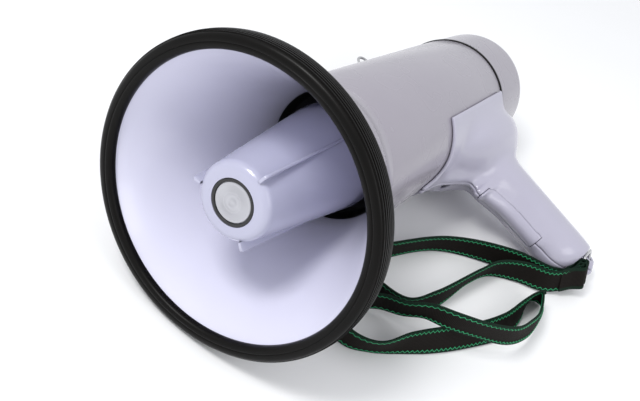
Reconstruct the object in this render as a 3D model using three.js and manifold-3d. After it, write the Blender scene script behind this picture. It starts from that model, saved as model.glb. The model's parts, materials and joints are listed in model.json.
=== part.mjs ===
// A handheld megaphone lying on a table, in millimetres, +Z up.
// The megaphone is built upright about its own axis: +X runs along the axis to the mouth of the
// horn, x = 0 at the mouth, and the grip points to -Z. It is then laid down on the rim of the
// horn, the rear cap and the butt of the grip. The carrying strap lies beside it on the table.
import * as THREE from 'three';
import { mergeVertices } from 'three/addons/utils/BufferGeometryUtils.js';
import Module from 'manifold-3d';

const wasm = await Module();
wasm.setup();

// ---------- driving dimensions ----------
const GAP = 0.3;                  // clearance between neighbouring pieces
const MOUTH_R = 90.4;             // inner radius of the horn at its mouth
const MOUTH_X = -4;
const THROAT_R = 46;              // inner radius of the horn at its throat
const THROAT_X = -118;
const HORN_WALL = 2.3;
const LIP_R = 94.6;               // turned-back lip that carries the rubber guard
const BARREL_X = -103;            // front edge of the barrel
const BARREL_R = 55.6;            // outer radius of the barrel at its front edge
const BARREL_END_X = -322;
const BARREL_END_R = 51.5;
const BARREL_WALL = 2.5;
const NECK_R = 48.3;              // outer radius of the neck that the rear cap screws on
const NECK_END_X = -337;
const CAP_X = -325.6;             // front edge of the rear cap
const CAP_END_X = -394;           // flat rear face of the cap
const CAP_R = 51;
const BULLET_NOSE_X = -3;
const BULLET_NOSE_R = 24.9;
const BULLET_END_X = -114;
const BULLET_END_R = 37.6;
const TUBE_R = 14;                // centre tube of the folded horn
const CELL_R = 13.1;              // C cell
const CELL_LENGTH = 49.6;
const GRIP_X = -295;              // centre line of the grip
const BUTT_Z = -179;              // end of the grip on its centre line, and its slant:
const BUTT_SLANT = 0.42;          // the front edge of the butt is shorter than the rear
const GRIP_WALL = 2.6;
const TRIGGER_PIVOT = [-272, -90];
const STRAP_WIDTH = 21;
const STRAP_THICKNESS = 1.6;
const ROLL = 76.4;                // the megaphone rolls onto its grip,
const PITCH = 7.9;                // and its mouth stands higher than its cap

const FINE = 36;
const COARSE = 22;
const SMALL = 12;

// ---------- materials ----------
const finish = (color, roughness, metalness = 0) => (
  new THREE.MeshStandardMaterial({ color, roughness, metalness })
);
const lilac = finish(0xc9c4dc, 0.3);
const rubber = finish(0x1d1a18, 0.55);
const black = finish(0x141414, 0.45);
const silver = finish(0xb4b4b8, 0.35, 0.6);
const steel = finish(0xb9bcc0, 0.3, 0.9);
const ferrite = finish(0x38383a, 0.7);
const copper = finish(0xb86f3c, 0.4, 0.8);
const board = finish(0x1f5a34, 0.5);
const cellJacket = finish(0x3b4a63, 0.4, 0.3);
const webbing = finish(0x17201a, 0.9);

// ---------- geometry helpers ----------
function volumeOf(geometry) {
  const p = geometry.getAttribute('position');
  const index = geometry.getIndex();
  const a = new THREE.Vector3();
  const b = new THREE.Vector3();
  const c = new THREE.Vector3();
  let sum = 0;
  for (let i = 0; i < index.count; i += 3) {
    a.fromBufferAttribute(p, index.getX(i));
    b.fromBufferAttribute(p, index.getX(i + 1));
    c.fromBufferAttribute(p, index.getX(i + 2));
    sum += a.dot(b.cross(c)) / 6;
  }
  return sum;
}

// merges shared vertices and turns the faces outwards
function closed(geometry) {
  geometry.deleteAttribute('normal');
  geometry.deleteAttribute('uv');
  const merged = mergeVertices(geometry, 1e-4);
  const index = Array.from(merged.getIndex().array);
  const kept = [];
  for (let i = 0; i < index.length; i += 3) {
    const [a, b, c] = index.slice(i, i + 3);
    if (a !== b && b !== c && c !== a) kept.push(a, b, c);
  }
  merged.setIndex(kept);
  if (volumeOf(merged) < 0) {
    for (let i = 0; i < kept.length; i += 3) [kept[i], kept[i + 1]] = [kept[i + 1], kept[i]];
    merged.setIndex(kept);
  }
  return merged;
}

function solid(geometry) {
  const g = closed(geometry);
  return new wasm.Manifold(new wasm.Mesh({
    numProp: 3,
    vertProperties: new Float32Array(g.getAttribute('position').array),
    triVerts: new Uint32Array(g.getIndex().array),
  }));
}

function geometryOf(manifold) {
  const mesh = manifold.getMesh();
  const geometry = new THREE.BufferGeometry();
  geometry.setAttribute('position', new THREE.BufferAttribute(mesh.vertProperties, 3));
  geometry.setIndex(new THREE.BufferAttribute(mesh.triVerts, 1));
  return geometry;
}

const join = (...parts) => parts.reduce((a, b) => a.add(b));
const cut = (whole, ...parts) => parts.reduce((a, b) => a.subtract(b), whole);

// turns a closed outline of [x, r] points about the X axis
function turned(outline, segments = COARSE) {
  const points = outline.map(([x, r]) => new THREE.Vector2(r, x));
  const onAxis = outline[0][1] === 0 && outline[outline.length - 1][1] === 0;
  if (!onAxis) points.push(points[0].clone());
  return solid(new THREE.LatheGeometry(points, segments).rotateZ(-Math.PI / 2));
}

const disc = (x0, x1, r, segments = COARSE) => (
  turned([[x0, 0], [x0, r], [x1, r], [x1, 0]], segments)
);
const ring = (x0, x1, inner, outer, segments = COARSE) => (
  turned([[x0, inner], [x0, outer], [x1, outer], [x1, inner]], segments)
);

function block(x0, x1, y0, y1, z0, z1) {
  const box = new THREE.BoxGeometry(x1 - x0, y1 - y0, z1 - z0);
  return solid(box.translate((x0 + x1) / 2, (y0 + y1) / 2, (z0 + z1) / 2));
}

// extrudes an outline of [x, z] points over a width centred on y
function slab(outline, width, y = 0) {
  const shape = new THREE.Shape(outline.map(([x, z]) => new THREE.Vector2(x, z)));
  const plate = new THREE.ExtrudeGeometry(shape, { depth: width, bevelEnabled: false });
  return solid(plate.rotateX(Math.PI / 2).translate(0, y + width / 2, 0));
}

// a round rod between two points
function rod(from, to, radius, segments = SMALL) {
  const a = new THREE.Vector3(...from);
  const b = new THREE.Vector3(...to);
  const length = a.distanceTo(b);
  const cylinder = new THREE.CylinderGeometry(radius, radius, length, segments);
  const direction = b.clone().sub(a).normalize();
  const turn = new THREE.Quaternion().setFromUnitVectors(new THREE.Vector3(0, 1, 0), direction);
  const middle = a.add(b).multiplyScalar(0.5);
  return solid(cylinder.applyQuaternion(turn).translate(middle.x, middle.y, middle.z));
}

// a round wire along a smooth curve through points
function wire(points, radius, steps, sides = 8, loop = false) {
  const curve = new THREE.CatmullRomCurve3(points.map((p) => new THREE.Vector3(...p)), loop);
  const shape = new THREE.Shape();
  for (let i = 0; i < sides; i += 1) {
    const angle = (2 * Math.PI * i) / sides;
    shape[i ? 'lineTo' : 'moveTo'](radius * Math.cos(angle), radius * Math.sin(angle));
  }
  return solid(new THREE.ExtrudeGeometry(shape, { steps, extrudePath: curve }));
}

// skins rings of equal point count and closes both ends
function loft(rings) {
  const count = rings[0].length;
  const positions = [];
  const index = [];
  rings.forEach((points) => points.forEach((p) => positions.push(p.x, p.y, p.z)));
  for (let i = 0; i < rings.length - 1; i += 1) {
    for (let j = 0; j < count; j += 1) {
      const a = i * count + j;
      const b = i * count + ((j + 1) % count);
      index.push(a, b, b + count, a, b + count, a + count);
    }
  }
  const last = (rings.length - 1) * count;
  for (let j = 1; j < count - 1; j += 1) {
    index.push(0, j + 1, j);
    index.push(last, last + j, last + j + 1);
  }
  const geometry = new THREE.BufferGeometry();
  geometry.setAttribute('position', new THREE.Float32BufferAttribute(positions, 3));
  geometry.setIndex(index);
  return geometry;
}

const megaphone = new THREE.Group();
const table = new THREE.Group();

function add(name, shape, material, group = megaphone) {
  const mesh = new THREE.Mesh(geometryOf(shape), material);
  mesh.name = name;
  group.add(mesh);
  return mesh;
}

// ---------- horn ----------
const FLARE = Math.log(MOUTH_R / THROAT_R) / (MOUTH_X - THROAT_X);
const hornRadius = (x) => THROAT_R * Math.exp(FLARE * (x - THROAT_X));

function hornBell() {
  const steps = 10;
  const inner = [];
  const outer = [];
  for (let i = 0; i <= steps; i += 1) {
    const x = THROAT_X + ((MOUTH_X - THROAT_X) * i) / steps;
    const r = hornRadius(x);
    const slope = FLARE * r;
    const length = Math.hypot(1, slope);
    const out = [x - (HORN_WALL * slope) / length, r + HORN_WALL / length];
    inner.push([x, r]);
    if (out[1] > BARREL_R + 0.5 && out[0] < -14) outer.unshift(out);
  }
  const lip = [[MOUTH_X, LIP_R], [-14, LIP_R], [-14, LIP_R - 2.2], [-8.4, LIP_R - 2.2]];
  const collarR = BARREL_R - BARREL_WALL - GAP;
  const seat = [[-92.5, BARREL_R], [BARREL_X + GAP, BARREL_R], [BARREL_X + GAP, collarR],
    [-115, collarR], [-115, 48.4], [THROAT_X - 0.6, 48.4], [THROAT_X - 0.6, THROAT_R]];
  return turned([...inner, ...lip, ...outer, ...seat], FINE);
}

function rimGuard() {
  return turned([[-15, 94.9], [-15, 97.2], [-13.6, 98.7], [-9, 99.7], [-4, 100], [-0.6, 99.3],
    [1.4, 97.4], [2.2, 94.8], [2.2, 92], [1.6, 90], [0.2, 88.9], [-3, 88.9],
    [MOUTH_X + GAP, 89.6], [MOUTH_X + GAP, 94.9]], FINE);
}

const bulletRadius = (x) => BULLET_NOSE_R
  + ((BULLET_END_R - BULLET_NOSE_R) * (x - BULLET_NOSE_X)) / (BULLET_END_X - BULLET_NOSE_X);

function hornBullet() {
  const wall = 2.2;
  const nose = [];
  const filletR = 5.6;
  for (let i = 0; i <= 4; i += 1) {
    const angle = (Math.PI / 2) * (i / 4);
    nose.push([BULLET_NOSE_X - filletR * (1 - Math.cos(angle)),
      BULLET_NOSE_R + 0.5 - filletR * (1 - Math.sin(angle))]);
  }
  const body = turned([[-26.3, 1.8], [-6.2, 1.8], [-6.2, 4], [-4.8, 4], [-4.8, 15.2],
    [BULLET_NOSE_X, 15.2], ...nose, [BULLET_END_X, BULLET_END_R],
    [BULLET_END_X, BULLET_END_R - wall], [-12, BULLET_NOSE_R - 1.4], [-8, 18], [-8, 4.8],
    [-26.3, 4.8]], 40);
  const fin = slab([[-3.6, 18], [-3.2, 28.5], [-4.6, 30.4], [-9, 30.8], [-96, 36], [-96, 33],
    [-8, 20]], 1.8);
  const fins = [22, 142, 262].map((angle) => fin.rotate([angle, 0, 0]));
  return join(body, ...fins);
}

function bulletScrew() {
  return join(disc(-6, -5, 3.4, SMALL), disc(-35, -5.5, 1.4, SMALL));
}

function throatCup() {
  return turned([[-118.9, 46.2], [-118.9, 52.4], [-121, 52.4], [-121, 48.6], [-134, 46.2],
    [-142, 38.4], [-145, 28], [-145, TUBE_R + 0.4], [-143, TUBE_R + 0.4], [-143, 27.4],
    [-140.4, 36.8], [-133, 44.2], [-121, 46.2]]);
}

function throatTube() {
  const tube = ring(-147, -40, TUBE_R - 2.2, TUBE_R, 24);
  const flange = ring(-149.5, -146.5, TUBE_R - 2.2, 32, 24);
  const hub = ring(-46, -26.7, 1.7, 5, SMALL);
  const web = block(-46, -38, -1, 1, 4, TUBE_R - 1);
  const webs = [0, 120, 240].map((angle) => web.rotate([angle, 0, 0]));
  return join(tube, flange, hub, ...webs);
}

add('horn_bell', hornBell(), lilac);
add('rim_guard', rimGuard(), rubber);
add('horn_bullet', hornBullet(), lilac);
add('badge_disc', disc(-4.4, -3.3, 12.6, 24), silver);
add('badge_ring', ring(-4.4, -2.9, 12.9, 14.9, 24), black);
add('bullet_screw', bulletScrew(), steel);
add('throat_cup', throatCup(), black);
add('throat_tube', throatTube(), black);

// ---------- compression driver ----------
function driverDiaphragm() {
  return turned([[-151.6, 0], [-152.6, 6], [-155.6, 12.2], [-155.6, 18], [-156.4, 24],
    [-157.2, 24], [-156.4, 18], [-156.4, 11.8], [-153.4, 5.8], [-152.4, 0]], 24);
}

function driverYoke() {
  return join(disc(-178.6, -174.6, 33, 24), disc(-175, -158.2, 11.6, 24));
}

function driverCover() {
  return turned([[-150, 35], [-150, 37], [-182, 37], [-184, 34], [-184, 0], [-181.6, 0],
    [-181.6, 33.4], [-180, 35]], 24);
}

function megaphoneDriver() {
  add('driver_diaphragm', driverDiaphragm(), copper);
  add('voice_coil', ring(-166, -156.8, 12, 13, 24), copper);
  add('driver_front_plate', ring(-162, -157.6, 13.4, 26, 24), steel);
  add('driver_magnet', ring(-174.3, -162.3, 16, 34, 24), ferrite);
  add('driver_yoke', driverYoke(), steel);
  add('driver_cover', driverCover(), black);
}
megaphoneDriver();

// ---------- barrel ----------
const TAPER = (BARREL_R - BARREL_END_R) / (BARREL_X - BARREL_END_X);
const barrelRadius = (x) => BARREL_R - TAPER * (BARREL_X - x);

function barrelShell() {
  const endInner = NECK_R - 2.4;
  const tube = turned([[BARREL_X, BARREL_R], [BARREL_END_X, BARREL_END_R],
    [BARREL_END_X, NECK_R], [NECK_END_X, NECK_R], [NECK_END_X, endInner],
    [BARREL_END_X + 4, endInner], [BARREL_END_X + 8, barrelRadius(-314) - BARREL_WALL],
    [BARREL_X, BARREL_R - BARREL_WALL]], FINE);
  const wireSlot = block(-300, -280, -6, 6, -60, -40);
  return cut(tube, wireSlot);
}

function barrelClearance(extra) {
  return turned([[-90, 0], [-90, barrelRadius(-90) + extra], [-362, barrelRadius(-362) + extra],
    [-362, 0]], FINE);
}

function topLoop() {
  const r = barrelRadius(-250);
  const bail = wire([[-244, 0, r + 1], [-244, 0, r + 7], [-246.5, 0, r + 10], [-250, 0, r + 11],
    [-253.5, 0, r + 10], [-256, 0, r + 7], [-256, 0, r + 1]], 1.1, 20);
  const foot = block(-261, -239, -4.5, 4.5, r - 3, r + 2.4);
  return cut(join(bail, foot), barrelClearance(GAP));
}

add('barrel_shell', barrelShell(), lilac);
add('top_loop', topLoop(), steel);
add('barrel_seal', turned([[-322.4, 48.9], [-322.4, 50.6], [-323, 51.3], [-324.8, 51.3],
  [-325.3, 50.6], [-325.3, 48.9]], FINE), rubber);

// ---------- amplifier ----------
function circuitBoard() {
  const plate = block(-207.6, -206, -38, 38, -26, 26);
  const transistors = [-26, -14].map((y) => block(-206.2, -194, y - 4, y + 4, 20, 24));
  const capacitors = [22, 31].map((y) => rod([-206.2, y, 14], [-190, y, 14], 3.6, 10));
  const chip = block(-206.2, -203, 19, 35, -18, -10);
  return join(plate, ...transistors, ...capacitors, chip);
}

function outputTransformer() {
  const core = block(-205.6, -188, -16, 16, -14, 14);
  const coil = block(-204, -189.6, -10, 10, -18, 18);
  return join(core, coil);
}

add('bulkhead', disc(-212, -210, barrelRadius(-211) - BARREL_WALL - 0.4), black);
add('circuit_board', circuitBoard(), board);
add('output_transformer', outputTransformer(), copper);

// ---------- batteries ----------
const CELL_OFFSET = CELL_R + 0.7;
const CELLS_X = -220.4;

function batteryHolder() {
  const front = disc(-216, -214, 40);
  const rear = disc(-325.4, -323.4, 40);
  const side = 2 * CELL_OFFSET + CELL_R;
  const web = [block(-320.4, -218.4, -side, side, -0.5, 0.5),
    block(-320.4, -218.4, -0.5, 0.5, -side, side)];
  const posts = [45, 135, 225, 315].map((angle) => (
    rod([-324, 0, -34], [-215, 0, -34], 2.4, 10).rotate([angle - 45, 0, 0])));
  return join(front, rear, ...web, ...posts);
}

function cell(layer, sideY, sideZ) {
  const x1 = CELLS_X - layer * (CELL_LENGTH + 0.4);
  const x0 = x1 - CELL_LENGTH;
  const body = turned([[x0, 0], [x0, CELL_R - 1.5], [x0 + 1, CELL_R], [x1 - 2.4, CELL_R],
    [x1 - 1.4, CELL_R - 1], [x1 - 1.4, 3.2], [x1, 3.2], [x1, 0]], SMALL);
  return body.translate([0, sideY * CELL_OFFSET, sideZ * CELL_OFFSET]);
}

function cellContacts(x, direction) {
  const spots = [[-1, -1], [-1, 1], [1, -1], [1, 1]];
  return spots.map(([sideY, sideZ]) => {
    const y = sideY * CELL_OFFSET;
    const z = sideZ * CELL_OFFSET;
    return rod([x, y, z], [x + direction, y, z], 6, 10);
  });
}

function frontContacts() {
  return join(disc(-217.3, -216.3, 26, 24), ...cellContacts(-217.2, -2.8));
}

function rearContacts() {
  return join(disc(-323.1, -322.1, 26, 24), ...cellContacts(-322.2, 1));
}

add('battery_holder', batteryHolder(), black);
add('front_contacts', frontContacts(), steel);
add('rear_contacts', rearContacts(), steel);
[0, 1].forEach((layer) => {
  [[-1, -1], [-1, 1], [1, -1], [1, 1]].forEach(([sideY, sideZ], i) => {
    add(`cell_${layer * 4 + i + 1}`, cell(layer, sideY, sideZ), cellJacket);
  });
});

// ---------- rear cap ----------
const KNOB_Z = -27;

function capProfile(inset) {
  const cornerR = 19;
  const sideR = 49.8;
  const profile = [[CAP_X, CAP_R - inset], [-348, 50.6 - inset]];
  for (let i = 0; i <= 5; i += 1) {
    const angle = (Math.PI / 2) * (i / 5);
    profile.push([CAP_END_X + cornerR - (cornerR - inset) * Math.sin(angle),
      sideR - cornerR + (cornerR - inset) * Math.cos(angle)]);
  }
  return profile;
}

function rearCap() {
  const wall = 2.2;
  const outer = [...capProfile(0), [CAP_END_X, 12.4]];
  const inner = [...capProfile(wall), [CAP_END_X + wall, 12.4]].reverse();
  const shell = turned([...outer, ...inner], FINE);
  const knobHole = rod([CAP_END_X - 3, 0, KNOB_Z], [CAP_END_X + 5, 0, KNOB_Z], 3.4);
  return cut(shell, knobHole);
}

function micGrille() {
  const plate = turned([[CAP_END_X - 1.4, 0], [CAP_END_X - 1.4, 10.5], [CAP_END_X - 0.4, 11.9],
    [CAP_END_X + 1.8, 11.9], [CAP_END_X + 1.8, 10], [CAP_END_X + 0.2, 9.4], [CAP_END_X + 0.2, 0]],
  24);
  const slots = [-6, -3, 0, 3, 6].map((y) => {
    const half = Math.sqrt(64 - y * y);
    return block(CAP_END_X - 3, CAP_END_X + 3, y - 0.6, y + 0.6, -half, half);
  });
  return cut(plate, ...slots);
}

function volumeKnob() {
  const turn = rod([CAP_END_X - 7, 0, KNOB_Z], [CAP_END_X - 0.5, 0, KNOB_Z], 7, 20);
  const pointer = block(CAP_END_X - 7.6, CAP_END_X - 6.5, -0.7, 0.7, KNOB_Z + 1, KNOB_Z + 6);
  const shaft = rod([CAP_END_X - 1, 0, KNOB_Z], [CAP_END_X + 4, 0, KNOB_Z], 3);
  return join(turn, pointer, shaft);
}

function volumePot() {
  return block(CAP_END_X + 4.4, CAP_END_X + 11, -8, 8, KNOB_Z - 6, KNOB_Z + 8);
}

add('rear_cap', rearCap(), lilac);
add('mic_grille', micGrille(), black);
add('mic_capsule', disc(CAP_END_X + 2.6, CAP_END_X + 7, 4.8, SMALL), silver);
add('mic_holder', turned([[CAP_END_X + 2.4, 5.1], [CAP_END_X + 2.4, 9], [CAP_END_X + 8.4, 9],
  [CAP_END_X + 8.4, 0], [CAP_END_X + 7.3, 0], [CAP_END_X + 7.3, 5.1]], SMALL), rubber);
add('volume_knob', volumeKnob(), black);
add('volume_control', volumePot(), steel);

// ---------- grip ----------
// section: height z, front x, rear x, half width, squareness of the outline, slant
const GRIP_SECTIONS = [
  [-34, -208, -340, 41, 2.6, 0], [-44, -214, -349, 39.5, 2.6, 0], [-52, -222, -352, 38, 2.6, 0],
  [-58, -232, -352, 35.5, 2.5, 0], [-63, -242, -351, 32.5, 2.4, 0], [-68, -254, -347.5, 28, 2.3, 0],
  [-73, -262, -340, 24.2, 2.2, 0], [-78, -264, -326, 22, 2.1, 0], [-85, -264, -321.5, 21.6, 2.1, 0],
  [-94, -267.5, -321.5, 21, 2.1, 0], [-106, -271, -322.5, 20.2, 2.1, 0],
  [-130, -271, -322.5, 20, 2.1, 0.1], [-160, -270.4, -322, 20, 2.1, 0.36],
  [-169, -271, -321.4, 19.4, 2.1, BUTT_SLANT], [-175, -274, -318.6, 17, 2.1, BUTT_SLANT],
  [BUTT_Z, -280, -313, 12, 2.1, BUTT_SLANT],
];

function outlineRing([z, front, rear, half, power, slant = 0], inset = 0) {
  const count = 24;
  const middle = (front + rear) / 2;
  const a = (front - rear) / 2 - inset;
  const b = half - inset;
  const points = [];
  for (let i = 0; i < count; i += 1) {
    const t = (2 * Math.PI * i) / count;
    const c = Math.cos(t);
    const s = Math.sin(t);
    const x = middle + a * Math.sign(c) * Math.abs(c) ** (2 / power);
    const y = b * Math.sign(s) * Math.abs(s) ** (2 / power);
    points.push(new THREE.Vector3(x, y, z + slant * (x - GRIP_X)));
  }
  return points;
}

const gripLoft = (sections, inset = 0) => solid(loft(sections.map((s) => outlineRing(s, inset))));

function keel() {
  return gripLoft([[-46, -184, -290, 12, 2], [-55, -194, -290, 9.5, 2], [-58, -208, -290, 8.6, 2],
    [-64, -229, -290, 8.3, 2], [-70, -248, -290, 8, 2], [-72.5, -252.6, -290, 8, 2],
    [-86, -252, -290, 8, 2]]);
}

function saddle() {
  const thickness = 2.6;
  const band = cut(turned([[-150, 0], [-150, barrelRadius(-150) + GAP + thickness],
    [-319, barrelRadius(-319) + GAP + thickness], [-319, 0]], FINE), barrelClearance(GAP));
  const plan = new THREE.Shape();
  plan.moveTo(-319, -60);
  plan.lineTo(-206, -60);
  plan.lineTo(-206, -24);
  plan.bezierCurveTo(-205, -12, -198, -5, -184, -3);
  plan.lineTo(-184, 3);
  plan.bezierCurveTo(-198, 5, -205, 12, -206, 24);
  plan.lineTo(-206, 60);
  plan.lineTo(-319, 60);
  const stencil = new THREE.ExtrudeGeometry(plan, { depth: 70, bevelEnabled: false, curveSegments: 6 });
  const wedge = [[0, 0], [80, -50], [80, -90], [-80, -90], [-80, -50]];
  const sector = new THREE.Shape(wedge.map(([y, z]) => new THREE.Vector2(y, z)));
  const prism = new THREE.ExtrudeGeometry(sector, { depth: 260, bevelEnabled: false });
  const turn = new THREE.Matrix4().makeBasis(new THREE.Vector3(0, 1, 0), new THREE.Vector3(0, 0, 1),
    new THREE.Vector3(1, 0, 0));
  prism.applyMatrix4(turn).translate(-380, 0, 0);
  return band.intersect(solid(stencil.translate(0, 0, -72))).intersect(solid(prism));
}

const [PIVOT_X, PIVOT_Z] = TRIGGER_PIVOT;
const RING_BAR = [[-319, 11, -178], [-317, -7, -192]];
const RING_FOLD = [[-297.3, 12.2, -177.2], [-295.2, -5.9, -191.3]];

// depth of a screw's seat on the right-hand side
const screwDepth = (x, z) => (x > -260 ? 4.5 : 14);
const GRIP_SCREWS = [[-242, -61], [-308, -74], [-297, -154]];

function gripBody() {
  const ringLug = rod([-318.6, 6, -181.9], [-317.5, -3, -188.9], 4.6);
  const ringRecess = block(-340, -250, 6, 30, -200, -175.2);
  const grip = cut(join(gripLoft(GRIP_SECTIONS), ringLug), ringRecess);
  const outside = cut(join(grip, keel(), saddle()), barrelClearance(GAP));
  const hollow = gripLoft(GRIP_SECTIONS.slice(0, 14), GRIP_WALL);
  const triggerSlot = block(-285, -240, -7.6, 7.6, -142.4, -84.6);
  const sirenSlot = block(-326, -312, -2.4, 2.4, -103, -91);
  const ringHole = rod([-319.2, 13, -176.4], [-316.8, -9, -193.6], 2.1, 12);
  const boss = (x, z, r, y0, y1) => rod([x, y0, z], [x, y1, z], r, 12).intersect(outside);
  const bosses = [-1, 1].flatMap((side) => [
    boss(PIVOT_X, PIVOT_Z, 3.8, side * 8.2, side * 16),
    boss(-289.5, -112, 2.6, side * 3.5, side * 22),
    boss(-313.4, -97, 2.6, side * 3.3, side * 22),
  ]);
  const pillars = GRIP_SCREWS.map(([x, z]) => boss(x, z, 4, -30, 30));
  const shell = join(cut(outside, hollow), ...bosses, ...pillars);
  const pinHole = rod([PIVOT_X, -11.4, PIVOT_Z], [PIVOT_X, 11.4, PIVOT_Z], 1.8, 12);
  const screwHoles = GRIP_SCREWS.flatMap(([x, z]) => {
    const depth = screwDepth(x, z);
    return [rod([x, -40, z], [x, -depth, z], 3.5, 12), rod([x, -30, z], [x, 7.4, z], 1.8, 12)];
  });
  return cut(shell, triggerSlot, sirenSlot, ringHole, pinHole, ...screwHoles);
}

const bothHalves = gripBody();
add('grip_left', bothHalves.intersect(block(-400, -100, 0.15, 90, -220, 0)), lilac);
add('grip_right', bothHalves.intersect(block(-400, -100, -90, -0.15, -220, 0)), lilac);

// ---------- trigger and switches ----------
function trigger() {
  const body = slab([[-256, -86.2], [-254.6, -88.4], [-258.6, -96], [-263, -104], [-265.4, -114],
    [-266.4, -128], [-266.8, -138], [-268.6, -141.2], [-272, -141.6], [-274, -137], [-273, -100],
    [-277, -94.5], [-277, -87], [-270, -85.8]], 14);
  return cut(body, rod([PIVOT_X, -10, PIVOT_Z], [PIVOT_X, 10, PIVOT_Z], 1.8, 12));
}

function gripScrew(x, z) {
  const seat = -screwDepth(x, z) - 0.2;
  return join(rod([x, seat - 2, z], [x, seat, z], 3, 12), rod([x, seat - 0.5, z], [x, 7, z], 1.4, 8));
}

function microSwitch() {
  return cut(block(-296, -283, -3.2, 3.2, -122, -102), rod([-286.5, 0, -112], [-280, 0, -112], 1.8, 10));
}

add('trigger', trigger(), lilac);
add('trigger_pin', rod([PIVOT_X, -11, PIVOT_Z], [PIVOT_X, 11, PIVOT_Z], 1.5, 12), steel);
add('micro_switch', microSwitch(), black);
add('switch_button', rod([-282.6, 0, -112], [-274.4, 0, -112], 1.4, 10), rubber);
GRIP_SCREWS.forEach(([x, z], i) => add(`grip_screw_${i + 1}`, gripScrew(x, z), steel));
add('siren_switch', block(-317.4, -309, -3, 3, -106, -88), black);
add('siren_slider', join(block(-324, -317.8, -1.9, 1.9, -99.5, -94.5),
  block(-325.2, -323.6, -1.9, 1.9, -100, -94)), black);

// ---------- strap ring ----------
function strapRing() {
  const [a, b] = RING_BAR;
  const [d, c] = RING_FOLD;
  const r = 1.25;
  return join(rod(a, b, r, 10), rod(b, c, r, 10), rod(c, d, r, 10), rod(d, a, r, 10));
}
add('strap_ring', strapRing(), steel);

// ---------- laying it down ----------
const lying = new THREE.Group();
megaphone.rotation.x = THREE.MathUtils.degToRad(ROLL);
lying.rotation.y = -THREE.MathUtils.degToRad(PITCH);
lying.add(megaphone);
lying.updateMatrixWorld(true);
const bounds = new THREE.Box3().setFromObject(lying, true);
const centre = bounds.getCenter(new THREE.Vector3());
lying.position.set(-centre.x, -centre.y, -bounds.min.z);

table.add(lying);

// ---------- carrying strap ----------
// Both ends are sewn round the wire ring. The webbing stands on its edge on the table and passes
// once over itself. Each row of the route is x, y, z and how far it leans to the left, in degrees.
const STRAP_ROUTE = [
  [-95, 134.6, 19.4, -14], [-83, 130.8, 15.4, -6], [-72.4, 119.8, 12.6, -4], [-59.6, 87.5, 11.8, -6],
  [-23.3, 41, 11.2, 10], [32.6, 12.6, 11.4, 5], [76, -6.5, 11.4, 0], [100, -4, 11.4, 0],
  [115, 9, 11.4, 0], [122, 24, 11.4, -1], [124.2, 44.6, 11.2, -12], [114.7, 59.6, 10.8, -18],
  [91.5, 74, 11, 8], [70, 87.5, 10.8, 23], [43, 103, 10.7, 22], [8.5, 116.7, 10.2, 28],
  [-16, 119.2, 10.8, 18], [-33.5, 119, 10.9, -6], [-43.3, 121, 10.4, -20], [-45.8, 125.3, 10.3, -27],
  [-13.6, 132.6, 14.2, -12], [9, 131, 18.6, -9], [33, 124.2, 24.8, 2], [55.3, 107.3, 31.2, 10],
  [69.5, 88.6, 33.4, 9], [73.6, 71.7, 29.6, 16], [78, 57.5, 22, 20], [80.5, 43, 16.4, 16],
  [86, 31.5, 13, 8], [86.5, 18, 11.5, 0], [78.5, 9.5, 11.4, 0], [68.8, 16, 11.4, -4],
  [67.5, 31, 11, -17], [60.3, 51.1, 10.3, -26], [41.1, 65.2, 11.3, 4], [-13.5, 75.4, 11.3, -8],
  [-37.2, 82.4, 11.3, -6], [-55.2, 100.4, 11.8, 6], [-67, 122.2, 13.2, 10], [-91.6, 138.8, 19.8, 18],
];
const STRAP_STEPS = 150;

function strap() {
  const points = STRAP_ROUTE.map(([x, y, z]) => new THREE.Vector3(x, y, z));
  const curve = new THREE.CatmullRomCurve3(points, false, 'centripetal');
  const last = points.length - 1;
  const rings = [];
  for (let i = 0; i <= STRAP_STEPS; i += 1) {
    const t = i / STRAP_STEPS;
    const at = curve.getPoint(t);
    const along = curve.getTangent(t);
    const row = Math.min(Math.floor(t * last), last - 1);
    const lean = THREE.MathUtils.lerp(STRAP_ROUTE[row][3], STRAP_ROUTE[row + 1][3], t * last - row);
    const left = new THREE.Vector3(-along.y, along.x, 0).normalize();
    const up = new THREE.Vector3(0, 0, 1).applyAxisAngle(along, -THREE.MathUtils.degToRad(lean));
    const side = new THREE.Vector3().crossVectors(up, along).normalize();
    if (side.dot(left) < 0) side.negate();
    side.multiplyScalar(STRAP_THICKNESS / 2);
    up.multiplyScalar(STRAP_WIDTH / 2);
    rings.push([
      at.clone().add(side).add(up), at.clone().sub(side).add(up),
      at.clone().sub(side).sub(up), at.clone().add(side).sub(up),
    ]);
  }
  return solid(loft(rings));
}

add('strap', strap(), webbing, table);

export default table;
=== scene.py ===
import json
import math
import bpy
import bmesh
import numpy as np
from mathutils import Matrix, Vector


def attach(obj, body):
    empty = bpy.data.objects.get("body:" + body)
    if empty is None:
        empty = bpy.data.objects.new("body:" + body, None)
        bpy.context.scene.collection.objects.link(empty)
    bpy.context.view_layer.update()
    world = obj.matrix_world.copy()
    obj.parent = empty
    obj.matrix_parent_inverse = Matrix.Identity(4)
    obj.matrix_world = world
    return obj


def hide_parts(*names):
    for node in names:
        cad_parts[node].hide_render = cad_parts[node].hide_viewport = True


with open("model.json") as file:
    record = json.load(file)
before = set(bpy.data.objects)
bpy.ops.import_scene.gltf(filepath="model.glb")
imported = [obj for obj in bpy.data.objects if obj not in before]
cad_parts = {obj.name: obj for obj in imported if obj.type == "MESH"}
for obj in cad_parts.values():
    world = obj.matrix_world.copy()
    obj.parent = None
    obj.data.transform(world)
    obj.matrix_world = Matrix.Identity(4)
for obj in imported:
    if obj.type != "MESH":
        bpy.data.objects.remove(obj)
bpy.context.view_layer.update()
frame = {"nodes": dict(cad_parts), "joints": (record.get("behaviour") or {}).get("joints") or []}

MM = 0.001

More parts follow.
